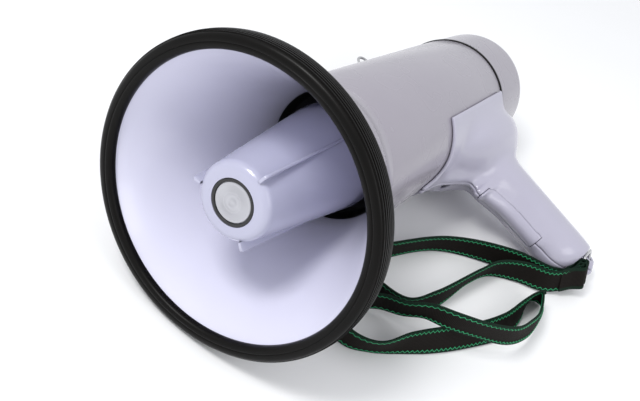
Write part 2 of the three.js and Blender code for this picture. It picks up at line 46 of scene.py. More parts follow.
# ---------- the megaphone's own axes ----------
# x along the horn to its mouth, z up from the grip, y to its left
JOINTS = {j["name"]: j for j in frame["joints"]}
AX = -Vector(JOINTS["cap_turn"]["axis"]).normalized()
AY = Vector(JOINTS["trigger_hinge"]["axis"]).normalized()
AZ = AX.cross(AY)
ORIGIN = Vector(JOINTS["cap_turn"]["pos_m"]) + AX * 0.360
PLACE = Matrix((
    (AX.x, AY.x, AZ.x, ORIGIN.x), (AX.y, AY.y, AZ.y, ORIGIN.y),
    (AX.z, AY.z, AZ.z, ORIGIN.z), (0, 0, 0, 1)))


def to_frame(points):
    """Points in the megaphone's axes, in millimetres, as an array in the frame, in metres."""
    p = np.asarray(points, float) * MM
    m = np.array(PLACE)
    return p @ m[:3, :3].T + m[:3, 3]


# ---------- camera ----------
CAM_AT = Vector((0.53605, 0.12434, 0.43539))
CAM_FORWARD = Vector((-0.74016, -0.25617, -0.62172))
CAM_UP = Vector((-0.38132, -0.60165, 0.70186))
LENS_MM, SENSOR_MM = 49.5, 36
right = CAM_FORWARD.cross(CAM_UP).normalized()
up = right.cross(CAM_FORWARD).normalized()
cam_data = bpy.data.cameras.new("camera")
cam_data.lens = LENS_MM
cam_data.sensor_width = SENSOR_MM
cam_data.dof.use_dof = False
cam = bpy.data.objects.new("camera", cam_data)
back = -CAM_FORWARD.normalized()
cam.matrix_world = Matrix((
    (right.x, up.x, back.x, CAM_AT.x), (right.y, up.y, back.y, CAM_AT.y),
    (right.z, up.z, back.z, CAM_AT.z), (0, 0, 0, 1)))
bpy.context.scene.collection.objects.link(cam)
bpy.context.scene.camera = cam


# ---------- materials ----------
def new_material(name):
    """A material with its node tree and its shader."""
    m = bpy.data.materials.new(name)
    m.use_nodes = True
    shader = m.node_tree.nodes["Principled BSDF"]
    return m, m.node_tree, shader


def noise(tree, scale, detail):
    """Noise in the object's own metres."""
    where = tree.nodes.new("ShaderNodeTexCoord")
    n = tree.nodes.new("ShaderNodeTexNoise")
    n.inputs["Scale"].default_value = scale
    n.inputs["Detail"].default_value = detail
    n.inputs["Roughness"].default_value = 0.5
    tree.links.new(where.outputs["Object"], n.inputs["Vector"])
    return n.outputs["Fac"]


def ramp(tree, source, stops):
    """Turns a value into colours at (place, colour) stops."""
    r = tree.nodes.new("ShaderNodeValToRGB")
    while len(r.color_ramp.elements) < len(stops):
        r.color_ramp.elements.new(0.5)
    for e, (at, colour) in zip(r.color_ramp.elements, stops):
        e.position = at
        e.color = (*colour, 1)
    tree.links.new(source, r.inputs["Fac"])
    return r.outputs["Color"]


def bump(tree, shader, height, strength, distance):
    b = tree.nodes.new("ShaderNodeBump")
    b.inputs["Strength"].default_value = strength
    b.inputs["Distance"].default_value = distance
    tree.links.new(height, b.inputs["Height"])
    tree.links.new(b.outputs["Normal"], shader.inputs["Normal"])


RAMP_LOW, RAMP_HIGH = 0.05, 0.95
GLOSS_PATCH = 1.7
COAT_ROUGHNESS = 0.1


def finish(name, dark, light, roughness, spread=0.06, patch=22, grain=900, depth=0.00002,
           strength=0.25, metallic=0.0, coat=0.0, specular=0.5):
    """Mottled colour, uneven gloss and a fine grain; patch and grain are noise scales."""
    m, tree, shader = new_material(name)
    tree.links.new(ramp(tree, noise(tree, patch, 2), [(RAMP_LOW, dark), (RAMP_HIGH, light)]),
                   shader.inputs["Base Color"])
    lo, hi = max(roughness - spread, 0.02), roughness + spread
    gloss = ramp(tree, noise(tree, patch * GLOSS_PATCH, 1),
                 [(RAMP_LOW, (lo,) * 3), (RAMP_HIGH, (hi,) * 3)])
    tree.links.new(gloss, shader.inputs["Roughness"])
    shader.inputs["Metallic"].default_value = metallic
    shader.inputs["Specular IOR Level"].default_value = specular
    if coat:
        shader.inputs["Coat Weight"].default_value = coat
        shader.inputs["Coat Roughness"].default_value = COAT_ROUGHNESS
    bump(tree, shader, noise(tree, grain, 2), strength, depth)
    return m


HORN = finish("horn_plastic", (0.675, 0.668, 0.790), (0.705, 0.698, 0.820), 0.26, 0.02,
              coat=0.3, strength=0.04)
BODY = finish("body_plastic", (0.275, 0.255, 0.295), (0.300, 0.280, 0.320), 0.27, 0.04,
              coat=0.3, strength=0.05)
BULLET = finish("bullet_plastic", (0.410, 0.410, 0.530), (0.435, 0.435, 0.555), 0.22, 0.04,
                coat=0.4, strength=0.05)
GRIP = finish("grip_plastic", (0.385, 0.370, 0.455), (0.410, 0.395, 0.480), 0.25, 0.04,
              coat=0.35, strength=0.05)
RUBBER = finish("rubber", (0.0018, 0.0015, 0.0012), (0.0034, 0.0029, 0.0025), 0.36,
                patch=60, depth=0.0001, specular=0.13)
BLACK = finish("black_plastic", (0.009, 0.009, 0.010), (0.014, 0.014, 0.015), 0.36, depth=0.0001)
SILVER = finish("badge_metal", (0.42, 0.42, 0.45), (0.50, 0.50, 0.53), 0.34,
                metallic=0.55, grain=1600)
STEEL = finish("steel", (0.50, 0.50, 0.51), (0.62, 0.62, 0.62), 0.24, metallic=0.95, patch=90)
FERRITE = finish("ferrite", (0.035, 0.035, 0.038), (0.055, 0.055, 0.058), 0.68, depth=0.0003)
COPPER = finish("copper", (0.45, 0.19, 0.08), (0.56, 0.26, 0.12), 0.34, metallic=0.85)
BOARD = finish("board", (0.010, 0.085, 0.035), (0.016, 0.115, 0.05), 0.42, patch=160)
CELL = finish("cell_jacket", (0.035, 0.055, 0.11), (0.05, 0.075, 0.14), 0.36, metallic=0.3)


# ---------- mesh helpers ----------
def mesh_object(name, verts, faces, material, body="megaphone"):
    """A smooth-shaded mesh in metres in the frame, riding on a body unless body is None."""
    mesh = bpy.data.meshes.new(name)
    mesh.from_pydata([tuple(v) for v in verts], [], [tuple(f) for f in faces])
    mesh.validate()
    mesh.update()
    mesh.polygons.foreach_set("use_smooth", [True] * len(mesh.polygons))
    mesh.materials.append(material)
    obj = bpy.data.objects.new(name, mesh)
    bpy.context.scene.collection.objects.link(obj)
    if body:
        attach(obj, body)
    return obj


def sharpen(obj, degrees=35):
    """Marks the edges that turn more than this as sharp."""
    bm = bmesh.new()
    bm.from_mesh(obj.data)
    bmesh.ops.recalc_face_normals(bm, faces=bm.faces)
    for e in bm.edges:
        if len(e.link_faces) == 2 and e.calc_face_angle(0) > math.radians(degrees):
            e.smooth = False
    bm.to_mesh(obj.data)
    bm.free()
    return obj


STRAIGHT_COSINE = -0.94
CORNER_STEPS = 3


def rounded(outline, radius):
    """Rounds the corners of a closed outline of (x, r) points."""
    out = []
    n = len(outline)
    for i in range(n):
        p = np.array(outline[i], float)
        a = np.array(outline[i - 1], float) - p
        b = np.array(outline[(i + 1) % n], float) - p
        la, lb = np.linalg.norm(a), np.linalg.norm(b)
        cosine = float(np.clip(a @ b / (la * lb), -1, 1))
        if p[1] == 0 or cosine < STRAIGHT_COSINE:
            out.append(tuple(p))
            continue
        cutback = min(radius, la * 0.4, lb * 0.4)
        start, end = p + a / la * cutback, p + b / lb * cutback
        for k in range(CORNER_STEPS + 1):
            t = k / CORNER_STEPS
            out.append(tuple((1 - t) ** 2 * start + 2 * t * (1 - t) * p + t * t * end))
    return out


def turned(name, outline, material, segments=144, body="megaphone", ripple=None,
           centre=(0.0, 0.0)):
    """Turns a closed outline of (x, r) points about the x axis, or about a centre beside it;
    ripple(r, angle) may change r."""
    rows, faces = [], []
    for i in range(segments):
        t = 2 * math.pi * i / segments
        c, s = math.cos(t), math.sin(t)
        for x, r in outline:
            q = ripple(r, t) if ripple and r > 0 else r
            rows.append((x, q * c + centre[0], q * s + centre[1]))
    n = len(outline)
    for i in range(segments):
        j = (i + 1) % segments
        for k in range(n):
            m = (k + 1) % n
            if outline[k][1] == 0 and outline[m][1] == 0:
                continue
            faces.append((i * n + k, i * n + m, j * n + m, j * n + k))
    obj = mesh_object(name, to_frame(rows), faces, material, body=body)
    bm = bmesh.new()
    bm.from_mesh(obj.data)
    bmesh.ops.remove_doubles(bm, verts=bm.verts, dist=1e-6)
    bmesh.ops.recalc_face_normals(bm, faces=bm.faces)
    bm.to_mesh(obj.data)
    bm.free()
    return sharpen(obj, 50)


def swept(name, points, radius, material, sides=14, loop=False, body="megaphone"):
    """A round wire along points in the megaphone's axes."""
    p = np.asarray(points, float)
    n = len(p)
    tangent = np.roll(p, -1, 0) - np.roll(p, 1, 0) if loop else np.gradient(p, axis=0)
    tangent /= np.linalg.norm(tangent, axis=1)[:, None]
    normal = np.cross(tangent[0], (0.3, 0.5, 0.8))
    verts = []
    for i in range(n):
        normal = normal - (normal @ tangent[i]) * tangent[i]
        normal /= np.linalg.norm(normal)
        side = np.cross(tangent[i], normal)
        for k in range(sides):
            t = 2 * math.pi * k / sides
            verts.append(p[i] + radius * (math.cos(t) * normal + math.sin(t) * side))
    faces = []
    for i in range(n if loop else n - 1):
        j = (i + 1) % n
        for k in range(sides):
            m = (k + 1) % sides
            faces.append((i * sides + k, i * sides + m, j * sides + m, j * sides + k))
    if not loop:
        faces.append(tuple(range(sides))[::-1])
        faces.append(tuple((n - 1) * sides + k for k in range(sides)))
    return mesh_object(name, to_frame(verts), faces, material, body=body)


def spline(points, per):
    """A centripetal Catmull-Rom curve through rows of any width; columns 1 to 3 are a place."""
    p = np.asarray(points, float)
    n = len(p)
    out = []
    for i in range(n - 1):
        p1, p2 = p[i], p[i + 1]
        p0 = p[i - 1] if i else 2 * p1 - p2
        p3 = p[i + 2] if i + 2 < n else 2 * p2 - p1
        d0, d1, d2 = (max(np.linalg.norm((b - a)[:3]) ** 0.5, 1e-6)
                      for a, b in ((p0, p1), (p1, p2), (p2, p3)))
        t1 = ((p1 - p0) / d0 - (p2 - p0) / (d0 + d1) + (p2 - p1) / d1) * d1
        t2 = ((p2 - p1) / d1 - (p3 - p1) / (d1 + d2) + (p3 - p2) / d2) * d1
        for k in range(per):
            t = k / per
            out.append(p1 * (2 * t ** 3 - 3 * t * t + 1) + t1 * (t ** 3 - 2 * t * t + t)
                       + p2 * (3 * t * t - 2 * t ** 3) + t2 * (t ** 3 - t * t))
    out.append(p[-1])
    return np.array(out)


# ---------- carrying strap ----------
STRAP_WIDTH = 21.0
STRAP_THICKNESS = 1.6
STRAP_SAMPLES = 24
BORDER_WIDTH = 2.75
RIB_PITCH, CORD_PITCH = 1.05, 0.9
STITCH_ROWS = (-7.9, 7.9)
STITCH_HALF, STITCH_REACH, STITCH_GAP = 0.95, 0.74, 2.0
THREAD_RADIUS, THREAD_SIDES = 0.34, 5
# x, y, z in millimetres in the frame, and lean in degrees
STRAP_ROUTE = [
    (-95, 134.6, 19.4, -14), (-83, 130.8, 15.4, -6), (-72.4, 119.8, 12.6, -4),
    (-59.6, 87.5, 11.8, -6), (-23.3, 41, 11.2, 10), (32.6, 12.6, 11.4, 5), (76, -6.5, 11.4, 0),
    (100, -4, 11.4, 0), (115, 9, 11.4, 0), (122, 24, 11.4, -1), (124.2, 44.6, 11.2, -12),
    (114.7, 59.6, 10.8, -18), (91.5, 74, 11, 8), (70, 87.5, 10.8, 23), (43, 103, 10.7, 22),
    (8.5, 116.7, 10.2, 28), (-16, 119.2, 10.8, 18), (-33.5, 119, 10.9, -6),
    (-43.3, 121, 10.4, -20), (-45.8, 125.3, 10.3, -27), (-13.6, 132.6, 14.2, -12),
    (9, 131, 18.6, -9), (33, 124.2, 24.8, 2), (55.3, 107.3, 31.2, 10), (69.5, 88.6, 33.4, 9),
    (73.6, 71.7, 29.6, 16), (78, 57.5, 22, 20), (80.5, 43, 16.4, 16), (86, 31.5, 13, 8),
    (86.5, 18, 11.5, 0), (78.5, 9.5, 11.4, 0), (68.8, 16, 11.4, -4), (67.5, 31, 11, -17),
    (60.3, 51.1, 10.3, -26), (41.1, 65.2, 11.3, 4), (-13.5, 75.4, 11.3, -8),
    (-37.2, 82.4, 11.3, -6), (-55.2, 100.4, 11.8, 6), (-67, 122.2, 13.2, 10),
    (-91.6, 138.8, 19.8, 18)]


def strap_lines(route):
    """Even steps along the route: place, along, up and side, in millimetres in the frame."""
    rows = spline(route, STRAP_SAMPLES)
    walk = np.r_[0, np.cumsum(np.linalg.norm(np.diff(rows[:, :3], axis=0), axis=1))]
    u = np.linspace(0, walk[-1], int(walk[-1]) + 1)
    rows = np.array([np.interp(u, walk, rows[:, k]) for k in range(4)]).T
    at = rows[:, :3]
    along = np.gradient(at, axis=0)
    along /= np.linalg.norm(along, axis=1)[:, None]
    left = np.c_[-along[:, 1], along[:, 0], 0 * u]
    left /= np.linalg.norm(left, axis=1)[:, None]
    lean = np.radians(rows[:, 3])
    up_ = np.sin(lean)[:, None] * left + np.cos(lean)[:, None] * np.array((0, 0, 1.0))
    up_ -= (up_ * along).sum(1)[:, None] * along
    up_ /= np.linalg.norm(up_, axis=1)[:, None]
    side = np.cross(up_, along)
    return u, at, along, up_, side


def ribbon(name, u, at, up_, side, width, thickness, material):
    """A band with rounded selvedges and a slightly raised border; its UV map is in millimetres."""
    half, t = width / 2, thickness / 2
    across = [-1, -0.985, -0.9, -0.74, -0.7, -0.35, 0, 0.35, 0.7, 0.74, 0.9, 0.985, 1]
    high = [0.35, 0.8, 1, 1, 0.82, 0.8, 0.8, 0.8, 0.82, 1, 1, 0.8, 0.35]
    section = [(a * half, h * t) for a, h in zip(across, high)]
    section += [(a * half, -h * t) for a, h in zip(across[::-1], high[::-1])]
    n = len(section)
    verts = []
    for i in range(len(u)):
        for a, h in section:
            verts.append((at[i] + a * up_[i] + h * side[i]) * MM)
    faces = []
    for i in range(len(u) - 1):
        for k in range(n):
            m = (k + 1) % n
            faces.append((i * n + k, i * n + m, (i + 1) * n + m, (i + 1) * n + k))
    faces.append(tuple(range(n))[::-1])
    faces.append(tuple((len(u) - 1) * n + k for k in range(n)))
    obj = mesh_object(name, verts, faces, material)
    uv = obj.data.uv_layers.new(name="weave")
    for poly in obj.data.polygons:
        rows = [obj.data.loops[l].vertex_index for l in poly.loop_indices]
        for l, v in zip(poly.loop_indices, rows):
            uv.data[l].uv = (u[v // n], section[v % n][0] + half)
    return sharpen(obj, 70)


def webbing_material(name, width):
    """Across: a dark green border at each selvedge and a near-black ribbed middle. UV is in mm."""
    m, tree, shader = new_material(name)
    uv = tree.nodes.new("ShaderNodeUVMap")
    uv.uv_map = "weave"
    split = tree.nodes.new("ShaderNodeSeparateXYZ")
    tree.links.new(uv.outputs["UV"], split.inputs[0])

    def calc(op, a, b=None):
        node = tree.nodes.new("ShaderNodeMath")
        node.operation = op
        for socket, v in zip(node.inputs, (a, b)):
            if v is None:
                continue
            if isinstance(v, (int, float)):
                socket.default_value = v
            else:
                tree.links.new(v, socket)
        return node.outputs[0]

    from_middle = calc("ABSOLUTE", calc("SUBTRACT", split.outputs["Y"], width / 2))
    wobble = calc("MULTIPLY", noise(tree, 700, 2), 0.5)
    border = calc("GREATER_THAN", calc("ADD", from_middle, wobble), width / 2 - BORDER_WIDTH)
    rib = calc("SINE", calc("MULTIPLY", split.outputs["X"], 2 * math.pi / RIB_PITCH))
    cord_rows = calc("SINE", calc("MULTIPLY", split.outputs["Y"], 2 * math.pi / CORD_PITCH))
    weave = calc("ADD", calc("MULTIPLY", calc("MULTIPLY", rib, cord_rows), 0.5), 0.5)
    ribbed = calc("ADD", calc("MULTIPLY", rib, 0.5), 0.5)
    mixed = tree.nodes.new("ShaderNodeMix")
    mixed.data_type = "FLOAT"
    tree.links.new(border, mixed.inputs["Factor"])
    tree.links.new(ribbed, mixed.inputs["A"])
    tree.links.new(weave, mixed.inputs["B"])
    middle = ramp(tree, mixed.outputs["Result"],
                  [(0.15, (0.0012, 0.0009, 0.0007)), (0.9, (0.011, 0.008, 0.006))])
    green = ramp(tree, mixed.outputs["Result"],
                 [(0.1, (0.002, 0.007, 0.004)), (0.9, (0.006, 0.026, 0.014))])
    colour = tree.nodes.new("ShaderNodeMix")
    colour.data_type = "RGBA"
    tree.links.new(border, colour.inputs["Factor"])
    tree.links.new(middle, colour.inputs["A"])
    tree.links.new(green, colour.inputs["B"])
    tree.links.new(colour.outputs["Result"], shader.inputs["Base Color"])
    shader.inputs["Roughness"].default_value = 0.8
    shader.inputs["Specular IOR Level"].default_value = 0.15
    bump(tree, shader, mixed.outputs["Result"], 0.6, 0.0002)
    return m


WEB = webbing_material("webbing", STRAP_WIDTH)
THREAD = finish("green_thread", (0.008, 0.230, 0.085), (0.020, 0.400, 0.160), 0.6, patch=300,
                grain=2500, depth=0.0001)


def zigzag(name, u, at, up_, side, material):
    """Sewing threads that zigzag along both faces of the band."""
    verts, faces = [], []
    knots = np.arange(u[0] + 1, u[-1] - 1, STITCH_GAP)
    for face in (-1, 1):
        for centre in STITCH_ROWS:
            line = []
            for i, s in enumerate(knots):
                k = min(int(np.searchsorted(u, s)), len(u) - 1)
                a = centre + (STITCH_HALF if i % 2 else -STITCH_HALF)
                line.append((at[k] + a * up_[k] + face * STITCH_REACH * side[k], up_[k], side[k]))
            base = len(verts)
            for p, a, b in line:
                for q in range(THREAD_SIDES):
                    t = 2 * math.pi * q / THREAD_SIDES
                    verts.append((p + THREAD_RADIUS * (math.cos(t) * a + math.sin(t) * b)) * MM)
            for i in range(len(line) - 1):
                a = base + i * THREAD_SIDES
                b = a + THREAD_SIDES
                for q in range(THREAD_SIDES):
                    w = (q + 1) % THREAD_SIDES
                    faces.append((a + q, a + w, b + w, b + q))
    return mesh_object(name, verts, faces, material)


u, at, along, up_, side = strap_lines(STRAP_ROUTE)
strap = ribbon("carrying_strap", u, at, up_, side, STRAP_WIDTH, STRAP_THICKNESS, WEB)
strap_threads = zigzag("strap_threads", u, at, up_, side, THREAD)


FOLD_LIFT = 1.75


def strap_fold(name, k, direction, outward, reach, radius, corner):
    """The end of the band goes round the wire and is sewn back on itself."""
    p, t, v, n = at[k], along[k] * direction, up_[k], side[k] * outward
    w = corner + ((p - corner) @ v) * v
    path = [p + t * reach + n * FOLD_LIFT, p + t * (reach * 0.5) + n * FOLD_LIFT,
            p + t + n * radius, w + n * radius - t * 0.2]
    for angle in (35, 70, 105, 140):
        a = math.radians(angle)
        path.append(w + n * radius * math.cos(a) - t * radius * math.sin(a))
    path += [w - n * radius * 0.9 + t * 0.6, p - n * 0.4 + t * 0.3]
    rows = spline(path, 6)
    walk = np.r_[0, np.cumsum(np.linalg.norm(np.diff(rows, axis=0), axis=1))]
    tangent = np.gradient(rows, axis=0)
    tangent /= np.linalg.norm(tangent, axis=1)[:, None]
    ups = np.repeat(v[None], len(rows), 0)
    ups = ups - (ups * tangent).sum(1)[:, None] * tangent
    ups /= np.linalg.norm(ups, axis=1)[:, None]
    sides = np.cross(ups, tangent)
    return ribbon(name, walk, rows, ups, sides, STRAP_WIDTH - 0.4, STRAP_THICKNESS - 0.1, WEB)


RING_BAR = np.array([(-319, 11, -178), (-317, -7, -192)], float)
RING_FOLD = np.array([(-297.3, 12.2, -177.2), (-295.2, -5.9, -191.3)], float)
fold_middle = to_frame([RING_FOLD.mean(0)])[0] / MM
folds = [
    strap_fold("strap_fold_back", 0, 1, -1, 20, 2.3, fold_middle),
    strap_fold("strap_fold_front", len(u) - 1, -1, 1 if side[-1] @ (at[-1] - at[0]) > 0 else -1,
               22, 4.1, fold_middle)]
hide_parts("strap")

# ---------- horn ----------
MOUTH_X, MOUTH_R, THROAT_X, THROAT_R = -4.0, 90.4, -118.0, 46.0
FLARE = math.log(MOUTH_R / THROAT_R) / (MOUTH_X - THROAT_X)
FLARE_STEPS, WALL = 48, 2.3
inner, outer = [], []
for i in range(FLARE_STEPS + 1):
    x = THROAT_X + (MOUTH_X - THROAT_X) * i / FLARE_STEPS
    r = THROAT_R * math.exp(FLARE * (x - THROAT_X))
    slope = FLARE * r
    length = math.hypot(1, slope)
    inner.append((x, r))
    q = (x - WALL * slope / length, r + WALL / length)
    if q[1] > 56.2 and q[0] < -14:
        outer.insert(0, q)
bell_outline = inner + [(-4, 94.6), (-14, 94.6), (-14, 92.4), (-8.4, 92.4)] + outer + [
    (-92.8, 55.9), (-93.2, 55.6), (-102.7, 55.6), (-102.7, 52.8), (-115, 52.8), (-115, 48.4),
    (-118.6, 48.4), (-118.6, 46)]
bell = turned("bell", bell_outline, HORN, 192)
bell.data.materials.append(BODY)
for face in bell.data.polygons:  # faces that look outwards take the body colour
    out = face.center - ORIGIN
    out -= out.dot(AX) * AX
    if face.normal.dot(out) > 0:
        face.material_index = 1
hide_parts("horn_bell")

guard_line = [(-15, 94.9), (-15, 96.9), (-14.4, 97.8), (-13.4, 98.6)]
for k in range(7):
    x = -12.6 + k * 1.85
    r = 98.9 + 0.9 * math.sin(math.pi * (k + 0.6) / 7.4)
    guard_line += [(x, r), (x + 1.0, r + 0.05), (x + 1.2, r - 0.75), (x + 1.6, r - 0.75)]
guard_line += [(0.9, 98.2), (1.7, 97.0), (2.1, 95.6), (2.2, 94.4), (2.15, 93.6), (1.8, 93.3),
               (2.1, 93.0), (2.1, 92.0), (1.9, 91.0), (1.4, 90.0), (0.5, 89.3), (-0.8, 88.95),
               (-3, 88.9), (-3.6, 89.3), (-3.7, 94.9)]
guard = turned("mouth_guard", guard_line, RUBBER, 192)
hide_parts("rim_guard")

bullet_line = [(-4.8, 15.2), (-3.0, 15.2)]
for k in range(11):
    a = math.pi / 2 * k / 10
    bullet_line.append((-3 - 5.6 * (1 - math.cos(a)), 25.4 - 5.6 * (1 - math.sin(a))))
bullet_line += [(-20, 26.9), (-40, 29.15), (-70, 32.6), (-100, 36.0), (-113.4, 37.5), (-114, 37.1),
                (-114, 35.9), (-113.4, 35.4), (-60, 29), (-12, 23.4), (-8, 18), (-8, 4.8),
                (-26.3, 4.8), (-26.3, 1.8), (-6.2, 1.8), (-6.2, 4), (-4.8, 4)]
bullet = turned("bullet", bullet_line, BULLET, 128)


def fin(name, degrees):
    """A thin fin that runs down the bullet, with a rounded nose and soft edges."""
    outline = [(-3.3, 24.4), (-3.1, 27.2), (-3.3, 29.2), (-4.2, 30.4), (-6, 30.8), (-9, 30.9),
               (-40, 32.7), (-70, 34.4), (-94, 35.9), (-96.5, 35.4), (-97.4, 34.4)]
    floor_ = [(x, 24.0 + (-x - 3) * 0.1135) for x, _ in outline]
    half = 0.95
    layers = [(-half, 0.35), (-half * 0.75, 0.1), (0, 0), (half * 0.75, 0.1), (half, 0.35)]
    a = math.radians(degrees)
    verts, faces = [], []
    n = len(outline)
    for off, drop in layers:
        for x, r in outline:
            y, z = off, r - drop
            verts.append((x, y * math.cos(a) - z * math.sin(a), y * math.sin(a) + z * math.cos(a)))
    lowest = len(verts)
    for off in (-half, half):
        for x, r in floor_:
            verts.append((x, off * math.cos(a) - r * math.sin(a),
                          off * math.sin(a) + r * math.cos(a)))
    for i in range(len(layers) - 1):
        for k in range(n - 1):
            faces.append((i * n + k, i * n + k + 1, (i + 1) * n + k + 1, (i + 1) * n + k))
    last = (len(layers) - 1) * n
    for k in range(n - 1):
        faces.append((lowest + k, lowest + k + 1, k + 1, k))
        faces.append((last + k, last + k + 1, lowest + n + k + 1, lowest + n + k))
    sharpen(mesh_object(name, to_frame(verts), faces, BULLET), 60)


for i, degrees in enumerate((22, 142, 262)):
    fin(f"bullet_fin_{i + 1}", degrees)
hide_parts("horn_bullet")

badge_line = [(-4.4, 0), (-4.4, 12.5), (-3.6, 12.6), (-3.35, 12.3), (-3.3, 11.6), (-3.42, 11.3),
              (-3.42, 10.9), (-3.3, 10.6), (-3.28, 7.0), (-3.1, 6.8), (-3.1, 5.6), (-3.28, 5.4),
              (-3.28, 2.6), (-3.1, 2.4), (-3.1, 0)]
badge = turned("badge", badge_line, SILVER, 96)
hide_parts("badge_disc")
badge_rim = turned(
    "badge_rim", rounded([(-4.4, 12.9), (-4.4, 14.9), (-2.9, 14.9), (-2.9, 12.9)], 0.5),
    BLACK, 96)
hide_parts("badge_ring")
cup = turned("throat", rounded([
    (-118.9, 46.2), (-118.9, 52.4), (-121, 52.4), (-121, 48.6), (-134, 46.2), (-142, 38.4),
    (-145, 28), (-145, 14.4), (-143, 14.4), (-143, 27.4), (-140.4, 36.8), (-133, 44.2),
    (-121, 46.2)], 1.2), BLACK, 128)
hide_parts("throat_cup")

# ---------- barrel and rear cap ----------
BARREL_FRONT, BARREL_REAR = -103, -322
FRONT_RADIUS, REAR_RADIUS = 55.6, 51.5


def barrel_radius(x):
    taper = (FRONT_RADIUS - REAR_RADIUS) / (BARREL_FRONT - BARREL_REAR)
    return FRONT_RADIUS - taper * (BARREL_FRONT - x)


barrel_line = rounded([
    (BARREL_FRONT, FRONT_RADIUS), (BARREL_REAR, REAR_RADIUS), (BARREL_REAR, 48.3), (-337, 48.3),
    (-337, 45.9), (-318, 45.9), (-314, barrel_radius(-314) - 2.5), (BARREL_FRONT, 53.1)], 0.5)
barrel = turned("barrel", barrel_line, BODY, 144)
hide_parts("barrel_shell")
seal = turned("cap_seal", rounded([
    (-322.3, 48.9), (-322.3, 51.6), (-322.9, 52.2), (-324.8, 52.2), (-325.4, 51.6), (-325.4, 48.9)],
    0.3), RUBBER, 144)
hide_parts("barrel_seal")


CAP_STEPS = 14


def cap_line(inset):
    """The cap's side and rounded shoulder, moved in by inset."""
    line = [(-325.6, 51 - inset), (-348, 50.6 - inset)]
    for k in range(CAP_STEPS + 1):
        a = math.pi / 2 * k / CAP_STEPS
        line.append((-375 - (19 - inset) * math.sin(a), 30.8 + (19 - inset) * math.cos(a)))
    return line


cap = turned("cap", cap_line(0) + [(-394, 12.4), (-391.8, 12.4)] + cap_line(2.2)[::-1],
             BODY, 144, body="rear_cap")
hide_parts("rear_cap")


RIDGE_FRONT, RIDGE_REAR, RIDGE_LEAD, RIDGE_STEPS = -329, -341, 5, 12


def cap_ridge(name, degrees):
    """A short raised rib that crosses the cap's side on a slant."""
    verts, faces = [], []
    profile = [(-1.1, -0.3), (-0.8, 0.18), (-0.3, 0.3), (0.3, 0.3), (0.8, 0.18), (1.1, -0.3)]
    n = len(profile)
    for i in range(RIDGE_STEPS + 1):
        t = i / RIDGE_STEPS
        x = RIDGE_FRONT + (RIDGE_REAR - RIDGE_FRONT) * t
        a0 = math.radians(degrees + RIDGE_LEAD * t)
        r = 51.0 - (-325.6 - x) * 0.018
        taper = math.sin(math.pi * min(max(t, 0.04), 0.96)) ** 0.35
        for off, h in profile:
            a = a0 + off / r
            q = r + h * taper if h > 0 else r + h
            verts.append((x, q * math.cos(a), q * math.sin(a)))
    for i in range(RIDGE_STEPS):
        for k in range(n - 1):
            faces.append((i * n + k, i * n + k + 1, (i + 1) * n + k + 1, (i + 1) * n + k))
    mesh_object(name, to_frame(verts), faces, BODY, body="rear_cap")


for i in range(5):
    cap_ridge(f"cap_rib_{i + 1}", 14 + 3.6 * i)


def knurled(r, t):
    """24 shallow flutes round the rim of the dial."""
    return r - 0.35 * (0.5 + 0.5 * math.cos(24 * t)) if r > 6 else r


knob = turned("volume_dial", [(-394.5, 0), (-394.5, 7.0), (-395.2, 7.0), (-400.2, 6.8),
                              (-400.9, 6.3), (-401, 5.6), (-401, 0)], BLACK, 144,
              body="volume_knob", ripple=knurled, centre=(0, -27))
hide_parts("volume_knob")


def soft_box(name, x0, x1, y0, y1, z0, z1, material, body="megaphone", edge=0.4):
    """A box with rounded edges, from limits in the megaphone's axes."""
    bm = bmesh.new()
    bmesh.ops.create_cube(bm, size=1)
    bm.transform(Matrix.Diagonal((x1 - x0, y1 - y0, z1 - z0, 1)))
    bm.transform(Matrix.Translation(((x0 + x1) / 2, (y0 + y1) / 2, (z0 + z1) / 2)))
    bmesh.ops.bevel(bm, geom=bm.edges[:], offset=edge, segments=3, affect="EDGES", profile=0.5)
    bm.transform(PLACE @ Matrix.Scale(MM, 4))
    bmesh.ops.recalc_face_normals(bm, faces=bm.faces)
    mesh = bpy.data.meshes.new(name)
    bm.to_mesh(mesh)
    bm.free()
    mesh.polygons.foreach_set("use_smooth", [True] * len(mesh.polygons))
    mesh.materials.append(material)
    obj = bpy.data.objects.new(name, mesh)
    bpy.context.scene.collection.objects.link(obj)
    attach(obj, body)
    return sharpen(obj, 60)


soft_box("dial_pointer", -401.5, -400.8, -0.6, 0.6, -26, -21.4, SILVER,
         body="volume_knob", edge=0.2)

top = barrel_radius(-250)
wire_points = spline([(-244, 0, top + 1), (-244, 0, top + 7), (-246.5, 0, top + 10),
                      (-250, 0, top + 11), (-253.5, 0, top + 10), (-256, 0, top + 7),
                      (-256, 0, top + 1)], 8)
swept("top_wire", wire_points, 1.1, STEEL)
foot = soft_box("top_foot", -261, -239, -4.5, 4.5, top + 0.4, top + 2.4, STEEL,
                edge=0.8)
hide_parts("top_loop")

